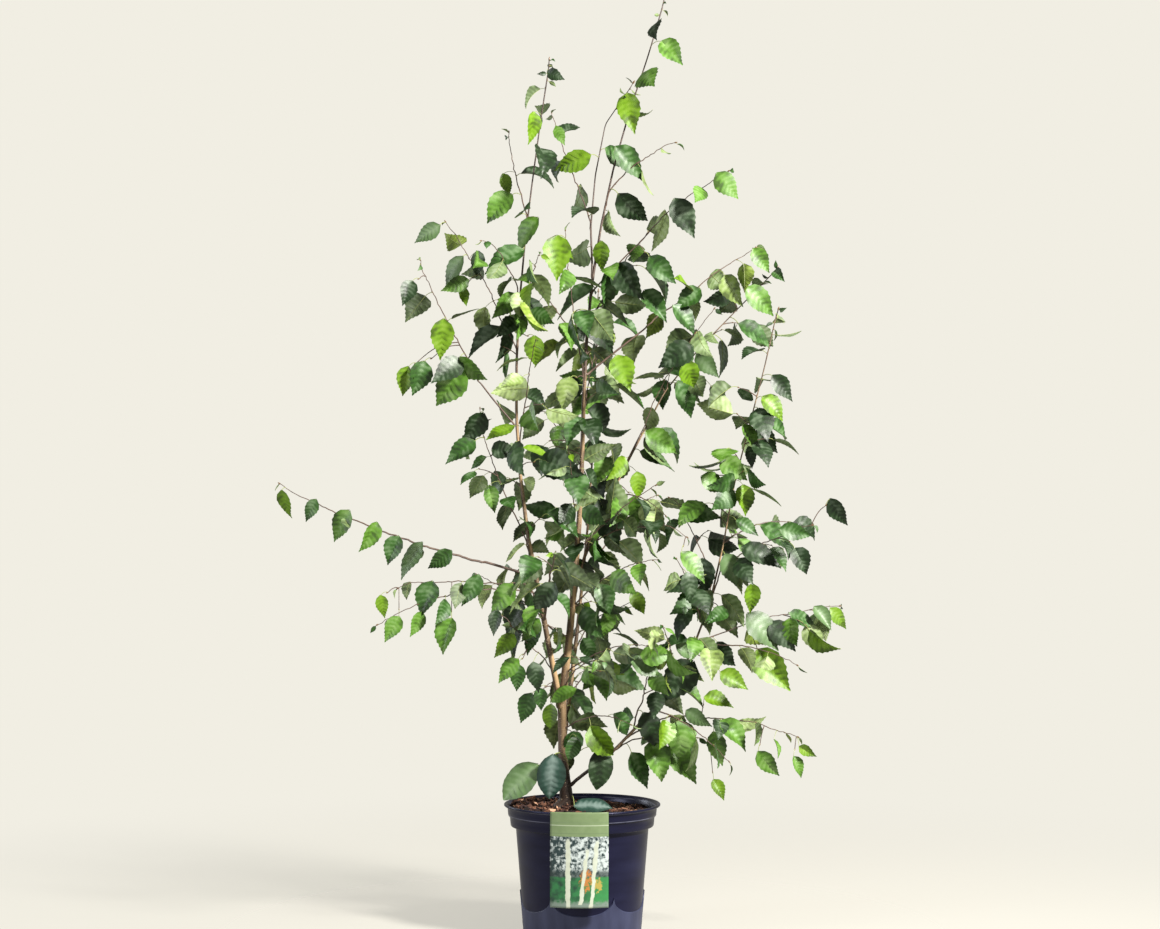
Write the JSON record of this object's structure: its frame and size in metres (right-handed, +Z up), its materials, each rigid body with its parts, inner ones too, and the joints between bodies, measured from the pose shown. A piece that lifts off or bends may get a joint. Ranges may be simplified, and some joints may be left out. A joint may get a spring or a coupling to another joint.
{
  "type": "potted young birch tree",
  "caption": "Young multi-stemmed birch with slender upright stems and loose hanging leaves, in a round black nursery pot with a plain picture card hooked on the rim.",
  "frame": {"origin": "middle of the pot's flat underside, on the pot's axis", "axes": "+Z up along the pot's axis, the picture card at -Y (the front), +X to the right seen from the front"},
  "size_m": [1.027, 0.6615, 1.6903],
  "materials": {
    "bark": "smooth thin bark, brown to tan, with fine pale lenticels",
    "twig": "thin purplish-brown twigs",
    "leaf": "soft satin green leaves, paler underneath",
    "pot_plastic": "satin black moulded plastic with a bluish cast",
    "potting_mix": "loose dark bark and peat chips",
    "printed_card": "printed plastic card, satin"
  },
  "bodies": {
    "root": {"pot": "pot_plastic", "soil": "potting_mix", "label_card": "printed_card", "stem_centre": "bark", "stem_left": "bark", "stem_right": "bark", "stem_leaning": "bark", "stem_second_leader": "bark", "stem_back": "bark", "bough_long_left": "twig", "bough_outer_left": "twig", "bough_upper_left": "twig", "bough_arching_right": "twig", "bough_inner_right": "twig", "bough_high_right": "twig", "bough_parallel_right": "twig", "bough_far_right": "twig", "bough_front_mid": "twig", "bough_back_left": "twig", "bough_back_right": "twig", "leaves_long_left": "leaf", "leaves_low_left": "leaf", "leaves_outer_left": "leaf", "leaves_upper_left": "leaf", "leaves_top_left": "leaf", "leaves_inner_left": "leaf", "leaves_mid_left": "leaf", "leaves_foot_left": "leaf", "leaves_thin_left": "leaf", "leaves_top_right": "leaf", "leaves_arching_right": "leaf", "leaves_inner_right": "leaf", "leaves_high_right": "leaf", "leaves_parallel_right": "leaf", "leaves_side_right": "leaf", "leaves_far_right": "leaf", "leaves_low_right": "leaf", "leaves_foot_right": "leaf", "leaves_fan_right": "leaf", "leaves_between_right": "leaf", "leaves_low_middle": "leaf", "leaves_middle_right": "leaf", "leaves_front_column": "leaf", "leaves_front_upper": "leaf", "leaves_front_low": "leaf", "leaves_front_mid": "leaf", "leaves_front_high": "leaf", "leaves_back_column": "leaf", "leaves_back_left": "leaf", "leaves_back_right": "leaf", "leaves_back_far": "leaf", "leaves_back_low": "leaf", "leaves_leader_top": "leaf", "leaves_second_leader_top": "leaf", "leaves_left_top": "leaf", "leaves_right_top": "leaf", "leaves_right_middle": "leaf", "leaves_leaning_top": "leaf", "leaves_back_top": "leaf", "leaves_foot": "leaf"}
  },
  "joints": []
}
